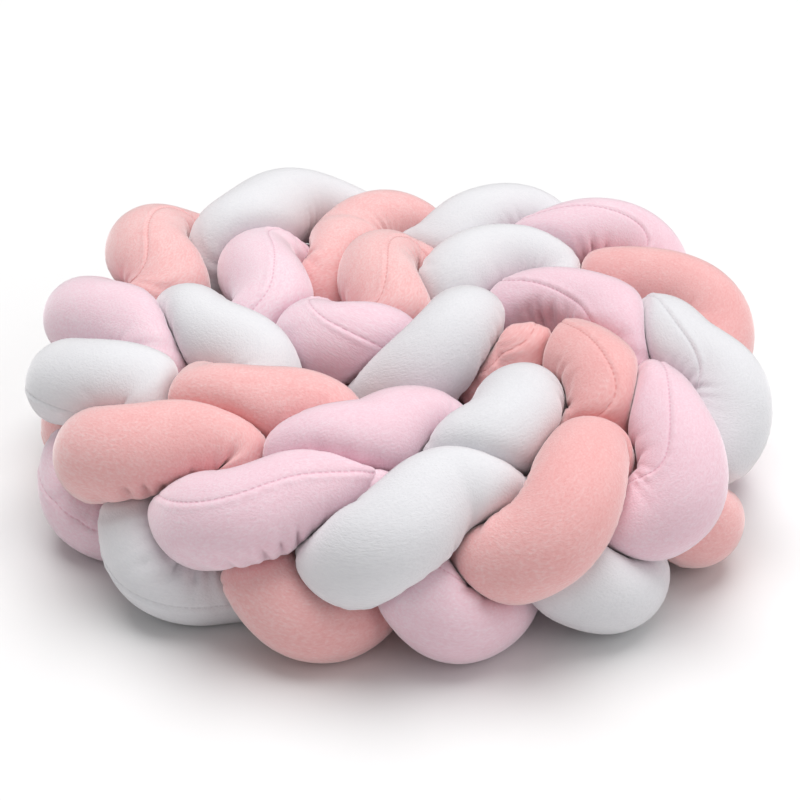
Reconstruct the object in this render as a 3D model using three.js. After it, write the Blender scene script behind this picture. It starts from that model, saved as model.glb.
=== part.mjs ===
// Braided crib bumper: three stuffed velvet tubes plaited together, the plait wound into a flat coil.
// Millimetres, +Z up. The origin is on the floor, under the middle of the coil.
import * as THREE from 'three';

// Driving dimensions
const tubeDiameter = 73;
const plaitRise = 50;       // a strand's centre line swings this far above and below the plait's middle
const plaitSpread = 33;     // and this far to either side of it
const floorPress = 4;       // how much the lowest lobes are pressed flat by the plait's weight
const gatherLength = 45;    // length over which a tube is drawn in at its closed ends
const gatherTip = 0.14;     // radius of the gathered tip as a share of the tube's radius
const clearance = 2.8;      // half of the gap kept between two strands, enough for the flat facets to miss
const bulge = 0.4;          // how much a squeezed tube swells to the free sides, 0 to 1
const softness = 7;         // higher is a harder crease between touching tubes
const bendRoom = 0.9;       // share of a bend's radius that the tube may fill on its inner side
const easings = 2;          // times that the creases between corners are eased

const leastSpacing = 36;    // centre lines that pass closer than this are pushed apart
const pushRounds = 24;
const pushRate = 0.5;       // share of the missing spacing that each tube makes up in one round
const pushEasings = 12;     // times that each push is eased along its tube

// Mesh steps
const sides = 10;
const sectionsPerLobe = 10;
const probesPerSection = 2;
const reach = 95;           // strands further away than this do not press on a section
const ownReach = 150;       // length of its own tube that a section does not press on

// The coil, one row for each lobe on top of the plait, from the outer end inward and
// counterclockwise seen from above. The middle of the plait follows these points smoothly.
//   x, y    place in plan
//   height  share of the plait's full height
//   spread  share of the plait's full width
//   lean    degrees that the plait's top leans away from the coil's middle
const coil = [
  { x: 130, y: 255, height: 1.00, spread: 1.00, lean: 0 },
  { x: 15, y: 288, height: 1.00, spread: 1.00, lean: 0 },
  { x: -120, y: 264, height: 1.00, spread: 1.00, lean: 0 },
  { x: -258, y: 174, height: 1.00, spread: 1.00, lean: 0 },
  { x: -240, y: 30, height: 1.00, spread: 1.00, lean: 0 },
  { x: -242, y: -58, height: 1.00, spread: 1.00, lean: 0 },
  { x: -185, y: -148, height: 0.95, spread: 1.00, lean: 2 },
  { x: -80, y: -206, height: 0.88, spread: 1.00, lean: 4 },
  { x: 26, y: -214, height: 0.88, spread: 1.00, lean: 8 },
  { x: 134, y: -190, height: 0.84, spread: 1.00, lean: 8 },
  { x: 224, y: -120, height: 0.90, spread: 1.00, lean: 6 },
  { x: 248, y: -12, height: 1.00, spread: 1.00, lean: 4 },
  { x: 236, y: 118, height: 1.00, spread: 1.00, lean: 0 },
  { x: 186, y: 208, height: 1.00, spread: 1.00, lean: 0 },
  { x: 80, y: 257, height: 1.00, spread: 1.00, lean: 0 },
  { x: -48, y: 224, height: 0.95, spread: 1.00, lean: 0 },
  { x: -136, y: 124, height: 1.02, spread: 1.00, lean: 0 },
  { x: -178, y: 10, height: 1.06, spread: 1.00, lean: 0 },
  { x: -118, y: -116, height: 1.02, spread: 1.00, lean: 0 },
  { x: -24, y: -160, height: 0.95, spread: 1.00, lean: 0 },
  { x: 106, y: -132, height: 1.02, spread: 1.00, lean: 0 },
  { x: 172, y: -66, height: 1.08, spread: 0.85, lean: 0 },
  { x: 178, y: 62, height: 1.08, spread: 1.00, lean: 0 },
  { x: 78, y: 164, height: 1.08, spread: 1.00, lean: 0 },
  { x: -38, y: 125, height: 1.02, spread: 1.00, lean: 0 },
  { x: -62, y: -12, height: 0.92, spread: 1.00, lean: 0 },
  { x: 80, y: -6, height: 1.30, spread: 1.00, lean: 0 },
  { x: 86, y: 18, height: 0.74, spread: 0.90, lean: 0 },
  { x: 180, y: 72, height: 0.50, spread: 0.00, lean: 0 },
];
const firstRow = -2;        // lobe number of the first row, which is past the outer end

// The three tubes. Lobe numbers count along the plait, and turn is the lobe that the tube makes first.
// nudges say how far the tube lies aside of the even plait at a lobe number u.
const strands = [
  {
    name: 'strand_white', colour: 0xefeef1, turn: 0, from: -0.75, to: 24.7,
    nudges: [
      { u: -1, x: 0, y: 0, z: 0 }, { u: 0.3, x: -8, y: 0, z: 8 }, { u: 1, x: 0, y: 0, z: 0 },
      { u: 8.2, x: 0, y: 0, z: 0 }, { u: 9, x: -11, y: 0, z: 0 }, { u: 9.8, x: 0, y: 0, z: 0 },
      { u: 14.3, x: 0, y: 0, z: 0 }, { u: 15, x: 5, y: 0, z: 0 }, { u: 15.7, x: 0, y: 0, z: 0 },
    ],
  },
  {
    name: 'strand_salmon', colour: 0xf0b3aa, turn: 1, from: -0.7, to: 25.1,
    nudges: [
      { u: 6.4, x: 0, y: 0, z: 0 }, { u: 6.9, x: 0, y: 0, z: 7 }, { u: 7.4, x: 0, y: 0, z: 0 },
      { u: 7.8, x: 0, y: 0, z: 0 }, { u: 8.5, x: -16, y: 0, z: 0 }, { u: 9.2, x: 0, y: 0, z: 0 },
      { u: 12.4, x: 0, y: 0, z: 0 }, { u: 13, x: 0, y: 0, z: -16 }, { u: 13.6, x: 0, y: 0, z: 0 },
      { u: 24.2, x: 0, y: 0, z: 0 }, { u: 25.1, x: 12, y: -12, z: 4 },
    ],
  },
  {
    name: 'strand_pale_pink', colour: 0xf4d5e3, turn: 2, from: -0.55, to: 24.9,
    nudges: [
      { u: 1.3, x: 0, y: 0, z: 0 }, { u: 2, x: 7, y: 0, z: 0 }, { u: 2.7, x: 0, y: 0, z: 0 },
      { u: 4.3, x: 0, y: 0, z: 0 }, { u: 4.7, x: 8, y: 0, z: 0 }, { u: 5.2, x: 0, y: 0, z: 0 },
      { u: 6, x: 0, y: 0, z: 0 }, { u: 6.5, x: 0, y: 16, z: 0 }, { u: 7, x: 0, y: 0, z: 0 },
      { u: 7.4, x: 0, y: 0, z: 0 }, { u: 8, x: -14, y: 0, z: 5 }, { u: 8.6, x: 0, y: 0, z: 0 },
      { u: 10.4, x: 0, y: 0, z: 0 }, { u: 11, x: 0, y: 0, z: 8 }, { u: 11.6, x: 0, y: 0, z: 0 },
      { u: 22.9, x: 0, y: 0, z: 0 }, { u: 23.4, x: -12, y: 0, z: -22 }, { u: 24, x: 0, y: 0, z: 0 },
    ],
  },
];

const tubeRadius = tubeDiameter / 2;
const lobesPerStrand = strands.length;
const up = new THREE.Vector3(0, 0, 1);

// Value of one column of the coil at lobe number u, as a uniform cubic B-spline, or its slope.
function coilColumn(column, u, slope = false) {
  const place = u - firstRow;
  const row = THREE.MathUtils.clamp(Math.floor(place), 1, coil.length - 3);
  const t = place - row;
  const weights = slope
    ? [-((1 - t) ** 2) / 2, (3 * t * t - 4 * t) / 2, (-3 * t * t + 2 * t + 1) / 2, (t * t) / 2]
    : [
        (1 - t) ** 3 / 6,
        (3 * t ** 3 - 6 * t * t + 4) / 6,
        (-3 * t ** 3 + 3 * t * t + 3 * t + 1) / 6,
        t ** 3 / 6,
      ];
  return weights.reduce((sum, weight, k) => sum + weight * coil[row - 1 + k][column], 0);
}

// Centre line of one tube. It goes up and down once, and from side to side twice, in each three lobes.
// How far a tube lies aside of the even plait at lobe number u, eased from row to row.
function nudge(strand, u) {
  const rows = strand.nudges;
  const found = rows.findIndex((row) => row.u >= u);
  const after = Math.max(found < 0 ? rows.length - 1 : found, 1);
  const lower = rows[after - 1];
  const upper = rows[after];
  const t = THREE.MathUtils.smoothstep(u, lower.u, upper.u);
  return new THREE.Vector3().lerpVectors(lower, upper, t);
}

function strandPoint(strand, u) {
  const phase = (2 * Math.PI * (u - strand.turn)) / lobesPerStrand;
  const rise = plaitRise * coilColumn('height', u);
  const lift = rise * Math.cos(phase);
  const swing = -plaitSpread * coilColumn('spread', u) * Math.sin(2 * phase);
  const lean = THREE.MathUtils.degToRad(coilColumn('lean', u));
  const outward = new THREE.Vector3(coilColumn('y', u, true), -coilColumn('x', u, true), 0).normalize();
  const middle = tubeRadius - floorPress + rise;
  const point = new THREE.Vector3(coilColumn('x', u), coilColumn('y', u), 0);
  point.addScaledVector(outward, lift * Math.sin(lean) + swing * Math.cos(lean));
  point.z = middle + lift * Math.cos(lean) - swing * Math.sin(lean);
  return point.add(nudge(strand, u));
}

// Points along a tube's centre line, each with the length of tube up to it.
function measured(points) {
  let length = 0;
  return points.map((point, i) => {
    if (i > 0) length += point.distanceTo(points[i - 1]);
    return { point, length };
  });
}

function walkStrand(strand) {
  const span = strand.to - strand.from;
  const steps = Math.round(span * sectionsPerLobe) * probesPerSection;
  return Array.from({ length: steps + 1 }, (_, i) => strandPoint(strand, strand.from + (span * i) / steps));
}

// Vector to a station from the nearest point of any tube, but for the tube beside the station itself.
function fromNearest(station, strandIndex, lines) {
  let nearest = null;
  let least = Infinity;
  lines.forEach((line, other) => {
    for (const probe of line) {
      if (other === strandIndex && Math.abs(probe.length - station.length) < ownReach) continue;
      const distance = probe.point.distanceToSquared(station.point);
      if (distance >= least) continue;
      least = distance;
      nearest = probe;
    }
  });
  return station.point.clone().sub(nearest.point);
}

function easedAlong(vectors) {
  return vectors.map((vector, i) => {
    const before = vectors[Math.max(i - 1, 0)];
    const after = vectors[Math.min(i + 1, vectors.length - 1)];
    return vector.clone().multiplyScalar(2).add(before).add(after).divideScalar(4);
  });
}

// Tubes that pass too close push each other aside, smoothly along their length, but not into the floor.
function pushedApart(lines) {
  for (let round = 0; round < pushRounds; round += 1) {
    const pushes = lines.map((line, strandIndex) => line.map((station) => {
      const offset = fromNearest(station, strandIndex, lines);
      const missing = Math.max(leastSpacing - offset.length(), 0);
      return offset.normalize().multiplyScalar(missing * pushRate);
    }));
    lines.forEach((line, strandIndex) => {
      let moves = pushes[strandIndex];
      for (let pass = 0; pass < pushEasings; pass += 1) moves = easedAlong(moves);
      line.forEach((station, i) => {
        station.point.add(moves[i]);
        station.point.z = Math.max(station.point.z, tubeRadius - floorPress);
      });
    });
  }
  return lines.map((line) => measured(line.map((station) => station.point)));
}

const centreLines = pushedApart(strands.map((strand) => measured(walkStrand(strand))));

// Direction of the tube at a station, and how sharply it bends there.
function tangentAt(stations, i) {
  const before = stations[Math.max(i - 1, 0)];
  const after = stations[Math.min(i + 1, stations.length - 1)];
  return after.point.clone().sub(before.point).normalize();
}

function bendAt(stations, i) {
  const before = Math.max(i - 1, 0);
  const after = Math.min(i + 1, stations.length - 1);
  const turn = tangentAt(stations, after).sub(tangentAt(stations, before));
  return turn.divideScalar(stations[after].length - stations[before].length);
}

// Offsets from a station to every nearby point of the other tubes, and of this tube's other laps.
function pressingOffsets(strandIndex, station) {
  const offsets = [];
  centreLines.forEach((line, other) => {
    for (const probe of line) {
      if (other === strandIndex && Math.abs(probe.length - station.length) < ownReach) continue;
      const offset = probe.point.clone().sub(station.point);
      if (offset.length() < reach) offsets.push(offset);
    }
  });
  return offsets;
}

// Room in one direction before the surface halfway to the nearest neighbour is met.
function roomTowards(direction, offsets) {
  let room = Infinity;
  for (const offset of offsets) {
    const along = direction.dot(offset) + clearance;
    if (along <= 0) continue;
    room = Math.min(room, (offset.lengthSq() - clearance ** 2) / (2 * along));
  }
  return room;
}

// A smooth version of the least of several radii.
function softLeast(radii) {
  return radii.reduce((sum, radius) => sum + radius ** -softness, 0) ** (-1 / softness);
}

function outlineLength(radii) {
  const step = (2 * Math.PI) / radii.length;
  return radii.reduce((sum, radius, j) => {
    const next = radii[(j + 1) % radii.length];
    return sum + Math.sqrt(radius ** 2 + next ** 2 - 2 * radius * next * Math.cos(step));
  }, 0);
}

// Radii of one section: round where it is free, flat against its neighbours, and swollen between.
function sectionRadii(directions, radius, offsets, bend) {
  const rooms = directions.map((direction) => roomTowards(direction, offsets));
  const bends = directions.map((direction) => bendRoom / Math.max(direction.dot(bend), 1e-6));
  const squeezed = (free) => directions.map((_, j) => softLeast([free, rooms[j], bends[j]]));
  const roundLength = outlineLength(directions.map(() => radius));
  const swell = (roundLength / outlineLength(squeezed(radius))) ** bulge;
  return squeezed(radius * swell);
}

// How far the tube is drawn in near either closed end.
function gather(length, total) {
  const fromEnd = Math.min(length, total - length, gatherLength) / gatherLength;
  return Math.max(Math.sqrt(1 - (1 - fromEnd) ** 2), gatherTip);
}

// Directions of one section's corners, counted round from the lowest edge, which lies level.
function sectionDirections(tangent) {
  const side = up.clone().cross(tangent).normalize();
  const top = tangent.clone().cross(side);
  return Array.from({ length: sides }, (_, j) => {
    const angle = (2 * Math.PI * (j + 0.5)) / sides;
    const across = side.clone().multiplyScalar(Math.sin(angle));
    return across.addScaledVector(top, -Math.cos(angle));
  });
}

// Radii no larger than before, with the corners that stand proud of their neighbours eased in.
function eased(rows) {
  return rows.map((row, i) => {
    const before = rows[Math.max(i - 1, 0)];
    const after = rows[Math.min(i + 1, rows.length - 1)];
    return row.map((radius, j) => {
      const beside = row[(j + 1) % sides] + row[(j + sides - 1) % sides];
      return Math.min(radius, (2 * radius + before[j] + after[j] + beside) / 6);
    });
  });
}

function tubeGeometry(strandIndex) {
  const stations = centreLines[strandIndex].filter((_, i) => i % probesPerSection === 0);
  const total = stations[stations.length - 1].length;
  const directions = stations.map((_, i) => sectionDirections(tangentAt(stations, i)));
  let radii = stations.map((station, i) => {
    const radius = tubeRadius * gather(station.length, total);
    return sectionRadii(directions[i], radius, pressingOffsets(strandIndex, station), bendAt(stations, i));
  });
  for (let pass = 0; pass < easings; pass += 1) radii = eased(radii);

  const positions = [];
  const triangles = [];
  stations.forEach((station, i) => {
    directions[i].forEach((direction, j) => {
      const point = station.point.clone().addScaledVector(direction, radii[i][j]);
      positions.push(point.x, point.y, Math.max(point.z, 0));
    });
  });
  for (let i = 0; i + 1 < stations.length; i += 1) {
    for (let j = 0; j < sides; j += 1) {
      const a = i * sides + j;
      const b = i * sides + ((j + 1) % sides);
      triangles.push(a, b, a + sides, b, b + sides, a + sides);
    }
  }
  for (const end of [0, stations.length - 1]) {
    const tip = positions.length / 3;
    positions.push(...stations[end].point.toArray());
    for (let j = 0; j < sides; j += 1) {
      const a = end * sides + j;
      const b = end * sides + ((j + 1) % sides);
      triangles.push(...(end === 0 ? [b, a, tip] : [a, b, tip]));
    }
  }
  const geometry = new THREE.BufferGeometry();
  geometry.setAttribute('position', new THREE.Float32BufferAttribute(positions, 3));
  geometry.setIndex(triangles);
  geometry.computeVertexNormals();
  return geometry;
}

const bumper = new THREE.Group();
strands.forEach((strand, index) => {
  const velvet = new THREE.MeshStandardMaterial({ color: strand.colour, roughness: 0.85, metalness: 0 });
  const tube = new THREE.Mesh(tubeGeometry(index), velvet);
  tube.name = strand.name;
  bumper.add(tube);
});
const middle = new THREE.Box3().setFromObject(bumper).getCenter(new THREE.Vector3());
bumper.position.set(-middle.x, -middle.y, 0);

export default bumper;
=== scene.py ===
import math

import bpy
import numpy as np
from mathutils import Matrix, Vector


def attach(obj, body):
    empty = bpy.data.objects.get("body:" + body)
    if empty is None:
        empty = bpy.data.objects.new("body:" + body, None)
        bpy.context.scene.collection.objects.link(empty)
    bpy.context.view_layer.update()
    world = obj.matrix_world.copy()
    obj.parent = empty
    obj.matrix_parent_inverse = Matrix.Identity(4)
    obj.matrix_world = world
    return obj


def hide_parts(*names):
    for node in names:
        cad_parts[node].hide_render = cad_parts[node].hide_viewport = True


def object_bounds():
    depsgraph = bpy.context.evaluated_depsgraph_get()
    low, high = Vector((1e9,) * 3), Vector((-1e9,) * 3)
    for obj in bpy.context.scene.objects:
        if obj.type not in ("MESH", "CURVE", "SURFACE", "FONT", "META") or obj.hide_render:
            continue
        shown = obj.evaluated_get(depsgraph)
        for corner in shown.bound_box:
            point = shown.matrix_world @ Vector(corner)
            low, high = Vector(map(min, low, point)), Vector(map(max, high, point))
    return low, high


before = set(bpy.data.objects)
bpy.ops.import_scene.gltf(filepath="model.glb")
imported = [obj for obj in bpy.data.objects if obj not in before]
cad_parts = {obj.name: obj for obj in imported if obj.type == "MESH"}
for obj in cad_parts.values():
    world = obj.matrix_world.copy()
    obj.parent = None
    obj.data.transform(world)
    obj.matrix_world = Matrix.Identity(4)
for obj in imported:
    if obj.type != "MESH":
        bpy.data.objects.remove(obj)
cad_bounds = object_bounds()

# Sizes of the plait
TUBE_RADIUS = 0.0365
PLAIT_RISE = 0.050          # a strand's centre line swings this far above and below the plait's middle
PLAIT_SPREAD = 0.033        # and this far to either side of it
FLOOR_PRESS = 0.004         # how much the lowest lobes are pressed flat
LEAST_SPACING = 0.036       # centre lines that pass closer than this are pushed apart
PUSH_ROUNDS = 24
PUSH_RATE = 0.5             # share of the missing spacing that each tube makes up in one round
PUSH_EASINGS = 12           # times that each push is eased along its tube
CLEARANCE = 0.0004          # half of the gap between two strands where they press together
BULGE = 0.7                 # how much a squeezed tube swells to its free sides
SOFTNESS = 16               # higher is a harder crease between touching tubes
BEND_ROOM = 0.8             # share of a bend's radius that the tube may fill on its inner side
REACH = 0.095               # strands further away than this do not press on a section
OWN_REACH = 0.150           # length of its own tube that a section does not press on
EASINGS = 10                # times that the creases in the radii are eased

# Sewing and stuffing
GATHER_LENGTH = 0.045       # length over which a tube is drawn in at its closed ends
GATHER_TIP = 0.10           # radius of the gathered tip as a share of the tube's radius
PLEATS = 13                 # pleats round a gathered end
PLEAT_DEPTH = 0.0016
PLEATS_FULL = 0.25          # share of the gathered length from the tip where the pleats are deepest
PLEATS_TIP = 0.2            # and within which they fade out again
PLEAT_WANDER = 0.8
PLEAT_WAVE = 0.05
PLEAT_TURNS = 3
PLEAT_BREADTH = 0.7
SEAM_DEPTH = 0.0006         # the seam sinks this far into the pile
SEAM_WIDTH = 0.0015
SEAM_SHOULDER = 0.0006      # the cloth stands this proud on one side of the seam
SHOULDER_PLACE = 0.0042
SHOULDER_WIDTH = 0.0026
PUCKER_PITCH = 0.0092       # small pulls in the cloth along the seam
PUCKER_DEPTH = 0.00035
PUCKER_WANDER = 1.5
PUCKER_WAVE = 0.06
UNEVENNESS = 0.020          # how uneven the stuffing is, as a share of the radius
STUFFING_WAVE = 0.11        # length over which the stuffing varies
STRAIGHT = 0.001            # a tube that bends less than this has no inner side
CREASE_STRAIN = (0.25, 0.75)    # share by which a bend shortens the cloth where folds start, and are deepest
PULL_REACH = 0.014          # folds fade out this far from the tube that is pressed on
TUCK_SPAN = 0.13            # half of a tucked place's length in lobes
TUCK_WIDTH = 19             # and half of its width in degrees
FREE_ROOM = 0.004           # the surface details fade out this close to a neighbour
FIELD_TURNS = 2             # most times that the random fields go round a tube
SEED_STEP = 10              # random fields kept for each tube

# Folds across the tubes: on the inner side of tight bends, where a tube comes away from the one that it
# presses on, and at the tucks. A lower breadth is a narrower valley. wander, in radians, moves the folds
# to and fro over the length of wave, and draw is the number of the random field.
FOLDS = {
    "bend": {"depth": 0.0026, "pitch": 0.017, "breadth": 0.6, "wander": 1.2, "wave": 0.09,
             "turns": 2, "draw": 2},
    "pull": {"depth": 0.0032, "pitch": 0.015, "breadth": 0.45, "wander": 1.6, "wave": 0.07,
             "turns": 3, "draw": 6},
    "tuck": {"depth": 0.0080, "pitch": 0.0115, "breadth": 0.5, "wander": 1, "wave": 0.05,
             "turns": 2, "draw": 7},
}
# The first two kinds show only in patches, where another random field is high.
PATCHES = {
    "bend": {"low": -0.3, "high": 0.7, "wave": 0.12, "draw": 3},
    "pull": {"low": -0.6, "high": 0.7, "wave": 0.08, "draw": 5},
}

# Mesh steps
SECTIONS_PER_LOBE = 10
PROBES_PER_SECTION = 2
STATIONS_PER_PROBE = 3
RING = 64                   # points round a section
SEAM_CROWDING = 0.7         # how much the points of a section crowd towards its seam
SMOOTHING_PASSES = 6        # takes the corners off the pushes between the probes

# The coil, one row for each lobe on top of the plait, from the outer end inward: x and y in plan,
# shares of the plait's full height and width, and degrees that its top leans outward.
COIL_COLUMNS = ("x", "y", "height", "spread", "lean")
COIL = np.array((
    (0.130, 0.255, 1.00, 1.00, 0),
    (0.015, 0.288, 1.00, 1.00, 0),
    (-0.120, 0.264, 1.00, 1.00, 0),
    (-0.258, 0.174, 1.00, 1.00, 0),
    (-0.240, 0.030, 1.00, 1.00, 0),
    (-0.242, -0.058, 1.00, 1.00, 0),
    (-0.185, -0.148, 0.95, 1.00, 2),
    (-0.080, -0.206, 0.88, 1.00, 4),
    (0.026, -0.214, 0.88, 1.00, 8),
    (0.134, -0.190, 0.84, 1.00, 8),
    (0.224, -0.120, 0.90, 1.00, 6),
    (0.248, -0.012, 1.00, 1.00, 4),
    (0.236, 0.118, 1.00, 1.00, 0),
    (0.186, 0.208, 1.00, 1.00, 0),
    (0.080, 0.257, 1.00, 1.00, 0),
    (-0.048, 0.224, 0.95, 1.00, 0),
    (-0.136, 0.124, 1.02, 1.00, 0),
    (-0.178, 0.010, 1.06, 1.00, 0),
    (-0.118, -0.116, 1.02, 1.00, 0),
    (-0.024, -0.160, 0.95, 1.00, 0),
    (0.106, -0.132, 1.02, 1.00, 0),
    (0.172, -0.066, 1.08, 0.85, 0),
    (0.178, 0.062, 1.08, 1.00, 0),
    (0.078, 0.164, 1.08, 1.00, 0),
    (-0.038, 0.125, 1.02, 1.00, 0),
    (-0.062, -0.012, 0.92, 1.00, 0),
    (0.080, -0.006, 1.30, 1.00, 0),
    (0.086, 0.018, 0.74, 0.90, 0),
    (0.180, 0.072, 0.50, 0.00, 0),
))
FIRST_ROW = -2

# The three tubes. Lobe numbers count along the plait, and turn is the lobe that the tube makes first.
# from and to are the lobe numbers at its ends.
# nudges is a list of lobe number and x, y and z by which the tube lies aside of the even plait there.
# seam is a list of lobe number and degrees round the tube: 0 is its lowest line, 90 its inner side,
# 180 its top and 270 its outer side. Above 360 it has gone once round.
# fullness is a list of lobe number and a factor on the tube's radius.
# tucks is a list of lobe number and degrees round the tube, of places with short creases.
STRANDS = (
    {"name": "white", "turn": 0, "from": -0.75, "to": 24.7,
     "nudges": ((-1.0, 0, 0, 0), (0.3, -0.008, 0, 0.008), (1.0, 0, 0, 0),
                (5.3, 0, 0, 0), (5.8, -0.007, 0.003, 0), (6.5, 0, 0, 0),
                (8.2, 0, 0, 0), (9.0, -0.011, 0, 0), (9.8, 0, 0, 0),
                (14.3, 0, 0, 0), (15.0, 0.005, 0, 0), (15.7, 0, 0, 0),
                (17.2, 0, 0, 0), (17.8, -0.010, 0.004, 0), (18.5, 0, 0, 0),
                (23.2, 0, 0, 0), (23.75, -0.010, 0.005, 0), (24.2, -0.005, 0, 0),
                (24.7, -0.014, 0.004, -0.012)),
     "seam": ((-1, 270), (2.7, 265), (3, 285), (4, 274), (4.5, 272), (6, 350), (7.5, 420), (8.75, 490),
              (9.1, 532), (10.5, 640), (12, 720), (25, 720)),
     "fullness": ((-0.5, 1), (0.2, 1.12), (0.9, 1)),
     "tucks": ((4.22, 232),)},
    {"name": "salmon", "turn": 1, "from": -0.70, "to": 25.1,
     "nudges": ((0.5, 0, 0, 0), (1.05, 0.006, 0, 0), (1.6, 0, 0, 0),
                (6.4, 0, 0, 0), (6.9, 0, 0, 0.007), (7.4, 0, 0, 0),
                (7.8, 0, 0, 0), (8.5, -0.016, 0, 0), (9.2, 0, 0, 0),
                (12.4, 0, 0, 0), (13.0, -0.011, 0, -0.021), (13.6, 0, 0, 0),
                (18.4, 0, 0, 0), (18.9, -0.006, 0, 0), (19.4, 0, 0, 0),
                (21.5, 0, 0, 0), (22.05, 0.007, 0, 0), (22.6, 0, 0, 0),
                (24.0, 0, 0, 0), (24.5, -0.010, -0.004, 0.008), (25.1, 0.014, -0.026, 0.020)),
     "seam": ((-1, 110), (0.85, 165), (1.15, 202), (1.35, 225), (2.5, 290), (4, 350), (13, 360), (16, 300),
              (16.2, 300), (18.5, 206), (18.85, 172), (21.8, 157), (22.05, 175), (22.25, 206),
              (24.3, 230), (24.52, 224), (24.67, 205), (24.8, 187), (26, 187)),
     "fullness": ((0.4, 1), (1.0, 1.07), (1.6, 1), (12.3, 1), (13.0, 1.14), (13.7, 1)),
     "tucks": ((3.85, 293), (12.85, 122))},
    {"name": "pale_pink", "turn": 2, "from": -0.55, "to": 24.9,
     "nudges": ((-0.5, 0, 0.015, -0.030), (0.4, 0, 0, 0),
                (1.3, 0, 0, 0), (2.0, 0.007, 0, 0), (2.7, 0, 0, 0),
                (4.3, 0, 0, 0), (4.7, 0.008, 0, 0), (5.15, 0, 0, 0), (5.5, 0, 0, -0.009),
                (6.0, 0, 0, 0), (6.5, 0, 0.016, 0), (7.0, 0, 0, 0),
                (7.4, 0, 0, 0), (8.0, -0.014, 0, 0.005), (8.6, 0, 0, 0),
                (10.4, 0, 0, 0), (11.0, 0, 0, 0.008), (11.6, 0, 0, 0),
                (13.5, 0, 0, 0), (14.05, 0.007, 0, 0), (14.6, 0, 0, 0),
                (19.3, 0, 0, 0), (19.8, -0.006, -0.005, 0), (20.3, 0, 0, 0),
                (22.9, 0, 0, 0), (23.4, -0.012, 0, -0.022), (24.0, 0, 0, 0)),
     "seam": ((-1, 340), (2, 340), (3.15, 238), (3.35, 262), (4.55, 225), (4.85, 200), (5.2, 216), (5.6, 196),
              (7.5, 190), (7.77, 155), (8.15, 200), (10.7, 149), (10.95, 158), (11.2, 198), (14, 160),
              (14.2, 186), (14.45, 165), (17, 60), (19.7, 136), (19.95, 127), (20.13, 150), (20.28, 168),
              (22.8, 170), (23.05, 255), (26, 255)),
     "fullness": ((0, 1),),
     "tucks": ((3.3, 235), (4.66, 296), (4.88, 286), (11.05, 101), (20.12, 104))},
)
SEAM_EASINGS = 60           # times that the seam's way round its tube is eased

# Colours of the velvet, from pile that lies away from the light to pile that faces it: the pile's tone varies
# at random between them, and is painted paler where the tubes run one way, as painted sheen. bloom is the
# sheen of the pile's tips, and thread the sewing thread.
VELVETS = {
    "white": {"deep": (0.705, 0.70, 0.725), "cloth": (0.735, 0.73, 0.755), "pale": (0.76, 0.755, 0.775),
              "bloom": (1.0, 0.99, 1.0), "thread": (0.66, 0.65, 0.68)},
    "salmon": {"deep": (0.80, 0.385, 0.38), "cloth": (0.83, 0.455, 0.45), "pale": (0.85, 0.56, 0.555),
               "bloom": (1.0, 0.90, 0.89), "thread": (0.70, 0.26, 0.25)},
    "pale_pink": {"deep": (0.815, 0.54, 0.615), "cloth": (0.84, 0.60, 0.675), "pale": (0.855, 0.68, 0.74),
                  "bloom": (1.0, 0.93, 0.97), "thread": (0.74, 0.38, 0.48)},
}
PAINTED_SHEEN_WAY = (-0.1, -0.9, 0)  # painted sheen: the pile lies along the tubes, and its colour is painted palest where they run this way

# Velvet pile
PILE_SIZE = 0.0016
PILE_RELIEF = 0.0006
STREAK_SIZE = 0.007
STREAK_STRETCH = 0.4        # share of a streak's fineness along the tube
PATCH_SIZE = 0.035
BRUSH_SCALE = 0.12          # scale of the ripples left in the pile where it is brushed
BRUSH_PATCH = 0.045
BRUSH_EDGE = (0.56, 0.68)   # the random field's values between which the ripples set in
TONE_BASE = -0.90
# the nap share is painted sheen, paler where the tubes run one way
TONE_SHARES = {"pile": 1.7, "streaks": 0.5, "patches": 0.6, "nap_painted_sheen": 0.24}
RELIEF_SHARES = {"streaks": 0.35, "brushed": 0.5, "stitches": -0.5}
RELIEF_STRENGTH = 0.7
PILE_ROUGHNESS = (0.96, 0.80)   # of deep and of pale pile
PILE_SHINE = 0.15
SHEEN_ROUGHNESS = 0.4

# Stitches
STITCH_PITCH = 0.0034
STITCH_WIDTH = 0.0009
STITCH_CORE = 0.4           # share of the width in which a stitch is fully seen
STITCH_EDGE = (-0.5, 0.1)   # the wave's values between which a stitch sets in
STITCH_GAP = 0.25           # how much of the seam line is seen between two stitches
STITCH_TINT = 0.6           # how far the stitches take on the thread's colour

# Floor, camera and light: a white room, a broad soft light from above, and a weaker one from the right
FLOOR_HALF = 8.0
FLOOR_COLOUR = (0.8, 0.8, 0.8, 1)
FLOOR_ROUGHNESS = 0.9
CAMERA_DISTANCE = 1.5
CAMERA_ELEVATION = math.radians(31)
CAMERA_LENS = 79
CAMERA_SENSOR = 36
TARGET_HEIGHT = 0.085
ROOM_COLOUR = (1, 1, 1, 1)
ROOM_LIGHT = 0.33
LIGHTS = {
    "top_light": {"from": (0.03, 0.22, 1.0), "power": 2.66, "spread": 50},
    "side_light": {"from": (1.0, -0.25, 0.6), "power": 0.70, "spread": 60},
}


def coil_column(name, u, slope=False):
    """One column of the coil at lobe numbers u, as a uniform cubic B-spline, or its slope."""
    values = COIL[:, COIL_COLUMNS.index(name)]
    place = u - FIRST_ROW
    row = np.clip(np.floor(place).astype(int), 1, len(COIL) - 3)
    t = place - row
    if slope:
        weights = (-(1 - t) ** 2 / 2, (3 * t * t - 4 * t) / 2, (-3 * t * t + 2 * t + 1) / 2, t * t / 2)
    else:
        weights = ((1 - t) ** 3 / 6, (3 * t ** 3 - 6 * t * t + 4) / 6,
                   (-3 * t ** 3 + 3 * t * t + 3 * t + 1) / 6, t ** 3 / 6)
    return sum(weight * values[row - 1 + k] for k, weight in enumerate(weights))


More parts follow.
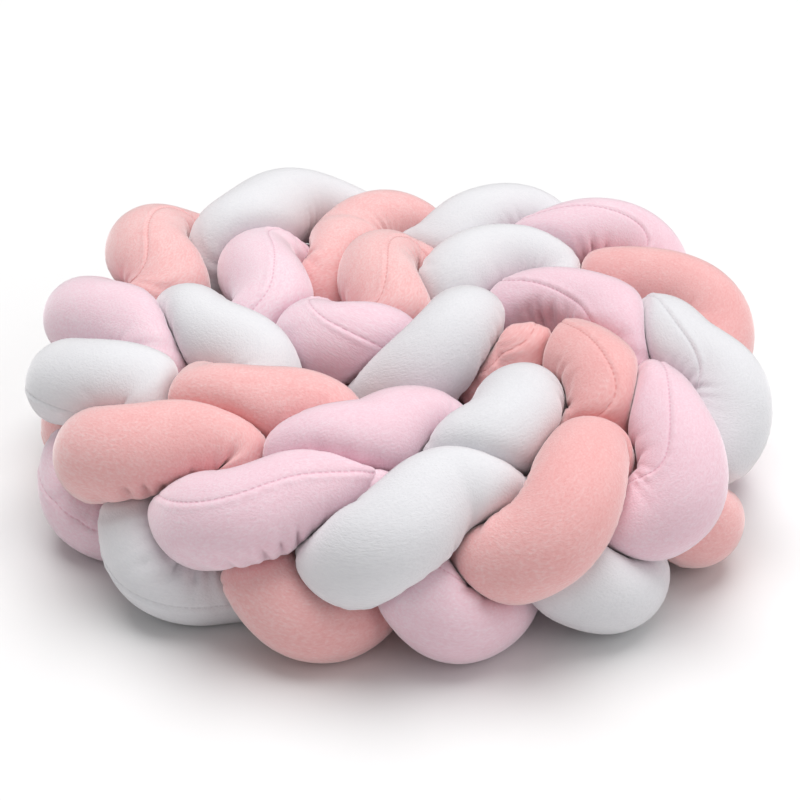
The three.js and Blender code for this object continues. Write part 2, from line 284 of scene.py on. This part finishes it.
def nudge(strand, u):
    """How far the tube lies aside of the even plait, eased from row to row."""
    rows = np.array(strand["nudges"])
    after = np.clip(np.searchsorted(rows[:, 0], u), 1, len(rows) - 1)
    before = after - 1
    t = smooth_step(rows[before, 0], rows[after, 0], u)[:, None]
    return rows[before, 1:] * (1 - t) + rows[after, 1:] * t


def strand_points(strand, u):
    """Centre line of one tube: up and down once, and from side to side twice, in each three lobes."""
    phase = 2 * math.pi * (u - strand["turn"]) / len(STRANDS)
    rise = PLAIT_RISE * coil_column("height", u)
    lift = rise * np.cos(phase)
    swing = -PLAIT_SPREAD * coil_column("spread", u) * np.sin(2 * phase)
    lean = np.radians(coil_column("lean", u))
    outward = np.column_stack((coil_column("y", u, True), -coil_column("x", u, True)))
    outward /= np.linalg.norm(outward, axis=1, keepdims=True)
    plan = np.column_stack((coil_column("x", u), coil_column("y", u)))
    plan += outward * (lift * np.sin(lean) + swing * np.cos(lean))[:, None]
    middle = TUBE_RADIUS - FLOOR_PRESS + rise
    return np.column_stack((plan, middle + lift * np.cos(lean) - swing * np.sin(lean))) + nudge(strand, u)


def lobe_numbers(strand, steps_per_section):
    span = strand["to"] - strand["from"]
    steps = round(span * SECTIONS_PER_LOBE) * steps_per_section
    return np.linspace(strand["from"], strand["to"], steps + 1)


def lengths_along(points):
    return np.concatenate(([0], np.cumsum(np.linalg.norm(np.diff(points, axis=0), axis=1))))


def unit(vectors):
    return vectors / np.maximum(np.linalg.norm(vectors, axis=-1, keepdims=True), 1e-9)


def eased_along(values, passes):
    for _ in range(passes):
        ends = np.concatenate((values[:1], values, values[-1:]))
        values = (ends[:-2] + 2 * values + ends[2:]) / 4
    return values


def pushed_apart(lines):
    """Tubes that pass too close push each other aside, smoothly, but not into the floor."""
    owner = np.concatenate([np.full(len(line), k) for k, line in enumerate(lines)])
    length = np.concatenate([lengths_along(line) for line in lines])
    own = owner[:, None] == owner[None]
    beside = own & (np.abs(length[:, None] - length[None]) < OWN_REACH)
    cuts = np.cumsum([len(line) for line in lines])[:-1]
    for _ in range(PUSH_ROUNDS):
        points = np.concatenate(lines)
        square = (points ** 2).sum(axis=1)
        distance = square[:, None] + square[None] - 2 * points @ points.T
        distance[beside] = np.inf
        nearest = distance.argmin(axis=1)
        offset = points - points[nearest]
        missing = np.maximum(LEAST_SPACING - np.linalg.norm(offset, axis=1), 0)
        pushes = np.split(unit(offset) * missing[:, None] * PUSH_RATE, cuts)
        lines = [line + eased_along(push, PUSH_EASINGS) for line, push in zip(lines, pushes)]
        for line in lines:
            line[:, 2] = np.maximum(line[:, 2], TUBE_RADIUS - FLOOR_PRESS)
    return lines


def rooms_towards(directions, offsets):
    """Room in each direction before the surface halfway to the nearest neighbour is met."""
    along = directions @ offsets.T + CLEARANCE
    square = (offsets ** 2).sum(axis=1) - CLEARANCE ** 2
    room = np.where(along > 1e-6, square / (2 * np.maximum(along, 1e-6)), np.inf)
    return room.min(axis=1)


def soft_least(*radii):
    return sum(radius ** -SOFTNESS for radius in radii) ** (-1 / SOFTNESS)


def outline_length(radii, angles):
    after = np.roll(radii, -1, axis=1)
    step = (np.roll(angles, -1, axis=1) - angles) % (2 * math.pi)
    return np.sqrt(radii ** 2 + after ** 2 - 2 * radii * after * np.cos(step)).sum(axis=1, keepdims=True)


def eased(radii):
    """Radii no larger than before, with what stands proud of its surroundings eased in."""
    for _ in range(EASINGS):
        ends = np.concatenate((radii[:1], radii, radii[-1:]))
        beside = np.roll(radii, 1, axis=1) + np.roll(radii, -1, axis=1)
        radii = np.minimum(radii, (2 * radii + ends[:-2] + ends[2:] + beside) / 6)
    return radii


def smooth_step(low, high, value):
    t = np.clip((value - low) / (high - low), 0, 1)
    return t * t * (3 - 2 * t)


def ripples(length, angle, wavelength, turns, seed, count=9):
    """A smooth random field on a tube, between about -1 and 1."""
    random = np.random.default_rng(seed)
    total = np.zeros(np.broadcast(length, angle).shape)
    for _ in range(count):
        wave = wavelength * random.uniform(0.7, 1.6)
        around = random.integers(-turns, turns + 1)
        total += np.cos(2 * math.pi * length / wave + around * angle + random.uniform(0, 2 * math.pi))
    return total / math.sqrt(count)


class Tube:
    """One strand's fine surface, as a grid of points: stations along it by points round it."""

    def __init__(self, strand, seed):
        self.strand = strand
        self.seed = seed
        self.u = lobe_numbers(strand, PROBES_PER_SECTION * STATIONS_PER_PROBE)
        coarse_u = lobe_numbers(strand, PROBES_PER_SECTION)
        self.probes = strand_points(strand, coarse_u)

    def follow(self, probes):
        """Takes on the pushed centre line and lays out the sections along it."""
        coarse_u = lobe_numbers(self.strand, PROBES_PER_SECTION)
        push = probes - self.probes
        fine_push = np.column_stack([np.interp(self.u, coarse_u, push[:, k]) for k in range(3)])
        self.centre = strand_points(self.strand, self.u) + eased_along(fine_push, SMOOTHING_PASSES)
        self.length = lengths_along(self.centre)
        tangent = unit(np.gradient(self.centre, axis=0))
        # painted sheen: how far the tube runs the way in which its colour is painted paler
        self.nap_painted_sheen = tangent @ np.array(PAINTED_SHEEN_WAY)
        side = unit(np.cross((0, 0, 1), tangent))
        top = np.cross(tangent, side)
        even = np.arange(RING) * 2 * math.pi / RING - math.pi
        self.from_seam = even - SEAM_CROWDING * np.sin(even)
        seam_u, seam_angle = np.transpose(self.strand["seam"])
        self.seam_angle = eased_along(np.radians(np.interp(self.u, seam_u, seam_angle)), SEAM_EASINGS)
        self.angle = self.seam_angle[:, None] + self.from_seam
        self.direction = (side[:, None] * np.sin(self.angle)[..., None]
                          - top[:, None] * np.cos(self.angle)[..., None])
        bend = eased_along(np.gradient(tangent, axis=0) / np.gradient(self.length)[:, None], SMOOTHING_PASSES)
        self.bend = (self.direction * bend[:, None]).sum(axis=-1)

    def gather(self):
        """How far the tube is drawn in near either closed end."""
        share = np.clip(self.from_end() / GATHER_LENGTH, 0, 1)
        return np.maximum(np.sqrt(1 - (1 - share) ** 2), GATHER_TIP)

    def from_end(self):
        return np.minimum(self.length, self.length[-1] - self.length)

    def press(self, index, lines):
        """Radii of the sections: round where free, flat against neighbours, swollen between."""
        self.room = np.full(self.angle.shape, np.inf)
        line_lengths = [lengths_along(line) for line in lines]
        for i, point in enumerate(self.centre):
            near = []
            for other, line in enumerate(lines):
                offsets = line - point
                keep = np.linalg.norm(offsets, axis=1) < REACH
                if other == index:
                    keep &= np.abs(line_lengths[other] - self.length[i]) > OWN_REACH
                near.append(offsets[keep])
            near = np.concatenate(near)
            if len(near):
                self.room[i] = rooms_towards(self.direction[i], near)
        bends = BEND_ROOM / np.maximum(self.bend, STRAIGHT)
        fullness = eased_along(np.interp(self.u, *np.transpose(self.strand["fullness"])), SMOOTHING_PASSES)
        radius = (TUBE_RADIUS * self.gather() * fullness)[:, None]
        squeezed = soft_least(radius, self.room, bends)
        round_length = outline_length(np.broadcast_to(radius, self.room.shape), self.angle)
        swell = (round_length / outline_length(squeezed, self.angle)) ** BULGE
        stuffing = 1 + UNEVENNESS * self.field(STUFFING_WAVE, FIELD_TURNS, 0)
        self.radius = eased(soft_least(radius * swell * stuffing, self.room, bends))

    def field(self, wave, turns, draw):
        """A random field that is smooth along and round this tube."""
        return ripples(self.length[:, None], self.angle, wave, turns, self.seed + draw)

    def folds(self, depth, pitch, breadth, wander, wave, turns, draw):
        """Valleys across the tube, from 0 down to the depth."""
        phase = math.pi * self.length[:, None] / pitch + wander * self.field(wave, turns, draw)
        return depth * (np.abs(np.sin(phase)) ** breadth - 1)

    def patches(self, low, high, wave, draw):
        """1 in patches of the tube, and 0 between them."""
        return smooth_step(low, high, self.field(wave, FIELD_TURNS, draw))

    def seam(self):
        """The sunken seam, and the puckered shoulder of cloth on one side of it."""
        away = np.abs(self.from_seam) * self.radius
        wander = PUCKER_WANDER * self.field(PUCKER_WAVE, 0, 1)
        puckers = np.cos(2 * math.pi * self.length[:, None] / PUCKER_PITCH + wander)
        shoulder = np.exp(-((away - SHOULDER_PLACE) / SHOULDER_WIDTH) ** 2) * (self.from_seam > 0)
        sunken = -SEAM_DEPTH * np.exp(-(away / SEAM_WIDTH) ** 2)
        return sunken + (SEAM_SHOULDER + PUCKER_DEPTH * puckers) * shoulder

    def tucked(self):
        """1 at the middle of each tucked place, and less around it."""
        places = np.zeros(self.angle.shape)
        for place, degrees in self.strand["tucks"]:
            aside = (self.angle - math.radians(degrees) + math.pi) % (2 * math.pi) - math.pi
            places += np.exp(-((self.u[:, None] - place) / TUCK_SPAN) ** 2
                             - (aside / math.radians(TUCK_WIDTH)) ** 2)
        return places

    def pleats(self):
        """Pleats round the gathered ends."""
        from_end = self.from_end()[:, None]
        drawn = smooth_step(GATHER_LENGTH, PLEATS_FULL * GATHER_LENGTH, from_end)
        tip = smooth_step(0, PLEATS_TIP * GATHER_LENGTH, from_end)
        wave = np.cos(PLEATS * self.angle + PLEAT_WANDER * self.field(PLEAT_WAVE, PLEAT_TURNS, 4))
        return -PLEAT_DEPTH * drawn * tip * (0.5 + 0.5 * wave) ** PLEAT_BREADTH

    def detail(self):
        """Height of seam, puckers, folds and end pleats above the smooth surface."""
        strained = smooth_step(*CREASE_STRAIN, np.maximum(self.bend, 0) * self.radius)
        bends = self.folds(**FOLDS["bend"]) * strained * self.patches(**PATCHES["bend"])
        pulled = np.exp(-((self.room - self.radius) / PULL_REACH) ** 2)
        pulls = self.folds(**FOLDS["pull"]) * pulled * self.patches(**PATCHES["pull"])
        tucks = self.folds(**FOLDS["tuck"]) * self.tucked()
        return self.seam() + bends + pulls + tucks + self.pleats()

    def points(self):
        height = self.detail()
        free = smooth_step(0, FREE_ROOM, self.room - self.radius)
        radius = self.radius + np.where(height > 0, height * free, height)
        points = self.centre[:, None] + self.direction * radius[..., None]
        points[..., 2] = np.maximum(points[..., 2], 0)
        return points


def grid_mesh(name, points):
    """A closed mesh from a grid of rings, with a point at the middle of each end."""
    stations, ring = points.shape[:2]
    tips = np.stack((points[0].mean(axis=0), points[-1].mean(axis=0)))
    a = np.arange(stations - 1)[:, None] * ring + np.arange(ring)
    b = np.arange(stations - 1)[:, None] * ring + np.roll(np.arange(ring), -1)
    quads = np.stack((a, b, b + ring, a + ring), axis=-1).reshape(-1, 4)
    last = (stations - 1) * ring
    first_tip = stations * ring
    j = np.arange(ring)
    k = np.roll(j, -1)
    caps = [(int(k[n]), int(j[n]), first_tip) for n in range(ring)]
    caps += [(last + int(j[n]), last + int(k[n]), first_tip + 1) for n in range(ring)]
    mesh = bpy.data.meshes.new(name)
    vertices = np.concatenate((points.reshape(-1, 3), tips))
    mesh.from_pydata(vertices.tolist(), [], quads.tolist() + caps)
    mesh.polygons.foreach_set("use_smooth", [True] * len(mesh.polygons))
    mesh.update()
    return mesh


def add_attributes(mesh, tube):
    """The cloth's own coordinates: place on the straightened tube, distance from the seam, and the nap's
    painted sheen, paler where the tube runs one way.
    """
    shape = tube.angle.shape
    delta = np.broadcast_to(tube.from_seam, shape)
    along = np.broadcast_to(tube.length[:, None], shape)
    place = np.stack((along, TUBE_RADIUS * np.sin(delta), TUBE_RADIUS * np.cos(delta)), axis=-1)
    nap_painted_sheen = np.broadcast_to(tube.nap_painted_sheen[:, None], shape)
    layers = {"cloth_place": ("FLOAT_VECTOR", "vector", place),
              "seam_distance": ("FLOAT", "value", np.abs(delta) * TUBE_RADIUS),
              "nap_painted_sheen": ("FLOAT", "value", nap_painted_sheen)}
    for name, (kind, field, values) in layers.items():
        flat = values.reshape(len(tube.u) * RING, -1)
        # the last two points are the middles of the ends
        flat = np.concatenate((flat, flat[:1], flat[-1:]))
        mesh.attributes.new(name, kind, "POINT").data.foreach_set(field, flat.ravel())


class Nodes:
    """Adds nodes to a material and links them. An input goes by its name, or by i and its number."""

    def __init__(self, material):
        self.tree = material.node_tree

    def add(self, kind, settings=None, **inputs):
        node = self.tree.nodes.new(kind)
        for key, value in (settings or {}).items():
            setattr(node, key, value)
        for key, value in inputs.items():
            socket = node.inputs[int(key[1:])] if key[0] == "i" and key[1:].isdigit() else node.inputs[key]
            if isinstance(value, bpy.types.NodeSocket):
                self.tree.links.new(value, socket)
            else:
                socket.default_value = value
        return node

    def attribute(self, name):
        return self.add("ShaderNodeAttribute", {"attribute_name": name})

    def math(self, operation, *values):
        inputs = {f"i{k}": value for k, value in enumerate(values)}
        return self.add("ShaderNodeMath", {"operation": operation}, **inputs).outputs[0]

    def noise(self, place, size, detail, distortion=0.0):
        node = self.add("ShaderNodeTexNoise", Vector=place, Scale=1 / size, Detail=detail,
                        Roughness=0.6, Distortion=distortion)
        return node.outputs["Fac"]

    def mix(self, factor, first, second):
        node = self.add("ShaderNodeMix", {"data_type": "RGBA"}, i0=factor, i6=first, i7=second)
        return node.outputs[2]


def brushed_ripples(nodes, place):
    """Ripples in the pile, only in some patches."""
    wave = nodes.add("ShaderNodeTexWave", {"wave_type": "RINGS"}, Vector=place, Scale=1 / BRUSH_SCALE,
                     Distortion=7.0, Detail=2.0)
    wave.inputs["Detail Scale"].default_value = 2.5
    patches = nodes.noise(place, BRUSH_PATCH, detail=2, distortion=0.5)
    low, high = BRUSH_EDGE
    shown = nodes.add("ShaderNodeMapRange", i0=patches, i1=low, i2=high).outputs[0]
    return nodes.math("MULTIPLY", wave.outputs["Fac"], shown)


def stitched_line(nodes, place):
    """A broken line along the seam."""
    from_seam = nodes.attribute("seam_distance").outputs["Fac"]
    line = nodes.add("ShaderNodeMapRange", i0=from_seam, i1=STITCH_CORE * STITCH_WIDTH, i2=STITCH_WIDTH,
                     i3=1.0, i4=0.0).outputs[0]
    along = nodes.add("ShaderNodeSeparateXYZ", Vector=place).outputs[0]
    wave = nodes.math("SINE", nodes.math("MULTIPLY", along, 2 * math.pi / STITCH_PITCH))
    low, high = STITCH_EDGE
    dash = nodes.add("ShaderNodeMapRange", i0=wave, i1=low, i2=high, i3=STITCH_GAP, i4=1.0).outputs[0]
    return nodes.math("MULTIPLY", line, dash)


def velvet(name, deep, cloth, pale, bloom, thread):
    """Short pile: fine grain, streaks and patches where it is brushed, painted sheen where the tubes run one
    way, and the stitches of the seam.
    """
    material = bpy.data.materials.new(name)
    material.use_nodes = True
    nodes = Nodes(material)
    place = nodes.attribute("cloth_place").outputs["Vector"]
    stretched = nodes.add("ShaderNodeVectorMath", {"operation": "MULTIPLY"},
                          i0=place, i1=(STREAK_STRETCH, 1, 1)).outputs[0]
    fields = {
        "pile": nodes.noise(place, PILE_SIZE, detail=2),
        "streaks": nodes.noise(stretched, STREAK_SIZE, detail=3, distortion=0.6),
        "patches": nodes.noise(place, PATCH_SIZE, detail=3, distortion=0.8),
        # painted sheen: paler where the tube runs one way
        "nap_painted_sheen": nodes.attribute("nap_painted_sheen").outputs["Fac"],
        "brushed": brushed_ripples(nodes, place),
        "stitches": stitched_line(nodes, place),
    }

    # 0 is deep, 0.5 the plain cloth and 1 pale; the nap share adds painted sheen, paler where the tube runs
    # one way
    tone = TONE_BASE
    for field, share in TONE_SHARES.items():
        tone = nodes.math("MULTIPLY_ADD", fields[field], share, tone)
    ramp = nodes.add("ShaderNodeValToRGB", Fac=tone)
    ramp.color_ramp.elements[0].color = (*deep, 1)
    ramp.color_ramp.elements[1].color = (*pale, 1)
    ramp.color_ramp.elements.new(0.5).color = (*cloth, 1)
    tint = nodes.math("MULTIPLY", fields["stitches"], STITCH_TINT)
    colour = nodes.mix(tint, ramp.outputs[0], (*thread, 1))

    height = fields["pile"]
    for field, share in RELIEF_SHARES.items():
        height = nodes.math("MULTIPLY_ADD", fields[field], share, height)
    bump = nodes.add("ShaderNodeBump", Height=height, Distance=PILE_RELIEF, Strength=RELIEF_STRENGTH)

    deep_roughness, pale_roughness = PILE_ROUGHNESS
    rough = nodes.add("ShaderNodeMapRange", i0=tone, i3=deep_roughness, i4=pale_roughness).outputs[0]
    shader = nodes.tree.nodes["Principled BSDF"]
    nodes.tree.links.new(colour, shader.inputs["Base Color"])
    nodes.tree.links.new(bump.outputs[0], shader.inputs["Normal"])
    nodes.tree.links.new(rough, shader.inputs["Roughness"])
    shader.inputs["Specular IOR Level"].default_value = PILE_SHINE
    shader.inputs["Sheen Weight"].default_value = 1.0
    shader.inputs["Sheen Roughness"].default_value = SHEEN_ROUGHNESS
    shader.inputs["Sheen Tint"].default_value = (*bloom, 1)
    return material


def add_floor():
    mesh = bpy.data.meshes.new("floor")
    corners = [(x * FLOOR_HALF, y * FLOOR_HALF, 0) for x, y in ((-1, -1), (1, -1), (1, 1), (-1, 1))]
    mesh.from_pydata(corners, [], [(0, 1, 2, 3)])
    floor = bpy.data.objects.new("floor", mesh)
    material = bpy.data.materials.new("floor")
    material.use_nodes = True
    shader = material.node_tree.nodes["Principled BSDF"]
    shader.inputs["Base Color"].default_value = FLOOR_COLOUR
    shader.inputs["Roughness"].default_value = FLOOR_ROUGHNESS
    mesh.materials.append(material)
    bpy.context.collection.objects.link(floor)
    return floor


def add_camera(target):
    """The camera at the photograph's angle."""
    back = Vector((0, -math.cos(CAMERA_ELEVATION), math.sin(CAMERA_ELEVATION)))
    camera = bpy.data.cameras.new("camera")
    camera.lens = CAMERA_LENS
    camera.sensor_width = CAMERA_SENSOR
    camera_object = bpy.data.objects.new("camera", camera)
    camera_object.location = target + back * CAMERA_DISTANCE
    camera_object.rotation_euler = (-back).to_track_quat("-Z", "Y").to_euler()
    bpy.context.collection.objects.link(camera_object)
    bpy.context.scene.camera = camera_object


def add_light():
    world = bpy.data.worlds.new("studio")
    bpy.context.scene.world = world
    world.use_nodes = True
    background = world.node_tree.nodes["Background"]
    background.inputs["Color"].default_value = ROOM_COLOUR
    background.inputs["Strength"].default_value = ROOM_LIGHT
    for name, settings in LIGHTS.items():
        light = bpy.data.lights.new(name, "SUN")
        light.energy = settings["power"]
        light.angle = math.radians(settings["spread"])
        lamp = bpy.data.objects.new(name, light)
        lamp.rotation_euler = Vector(settings["from"]).to_track_quat("Z", "Y").to_euler()
        bpy.context.collection.objects.link(lamp)


strands = [Tube(strand, SEED_STEP * index) for index, strand in enumerate(STRANDS)]
for tube, line in zip(strands, pushed_apart([tube.probes for tube in strands])):
    tube.follow(line)

# The sections press on the smoothed centre lines, so that two tubes meet at nearly the same surface.
lines = [tube.centre[::STATIONS_PER_PROBE] for tube in strands]
for index, tube in enumerate(strands):
    tube.press(index, lines)

# The coil's outline is centred on the frame's origin, as the solids are.
surfaces = [tube.points() for tube in strands]
everything = np.concatenate([surface.reshape(-1, 3) for surface in surfaces])
own_middle = (everything.min(axis=0) + everything.max(axis=0)) / 2
solid_middle = (np.array(cad_bounds[0]) + np.array(cad_bounds[1])) / 2
shift = np.array((solid_middle[0] - own_middle[0], solid_middle[1] - own_middle[1], 0))

for tube, surface in zip(strands, surfaces):
    name = tube.strand["name"]
    mesh = grid_mesh("tube_" + name, surface + shift)
    add_attributes(mesh, tube)
    mesh.materials.append(velvet(name + "_velvet", **VELVETS[name]))
    piece = bpy.data.objects.new("tube_" + name, mesh)
    bpy.context.collection.objects.link(piece)
    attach(piece, "root")
    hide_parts("strand_" + name)

floor = add_floor()
add_camera(Vector((shift[0], shift[1], TARGET_HEIGHT)))
add_light()
bpy.context.scene.view_settings.view_transform = "Standard"
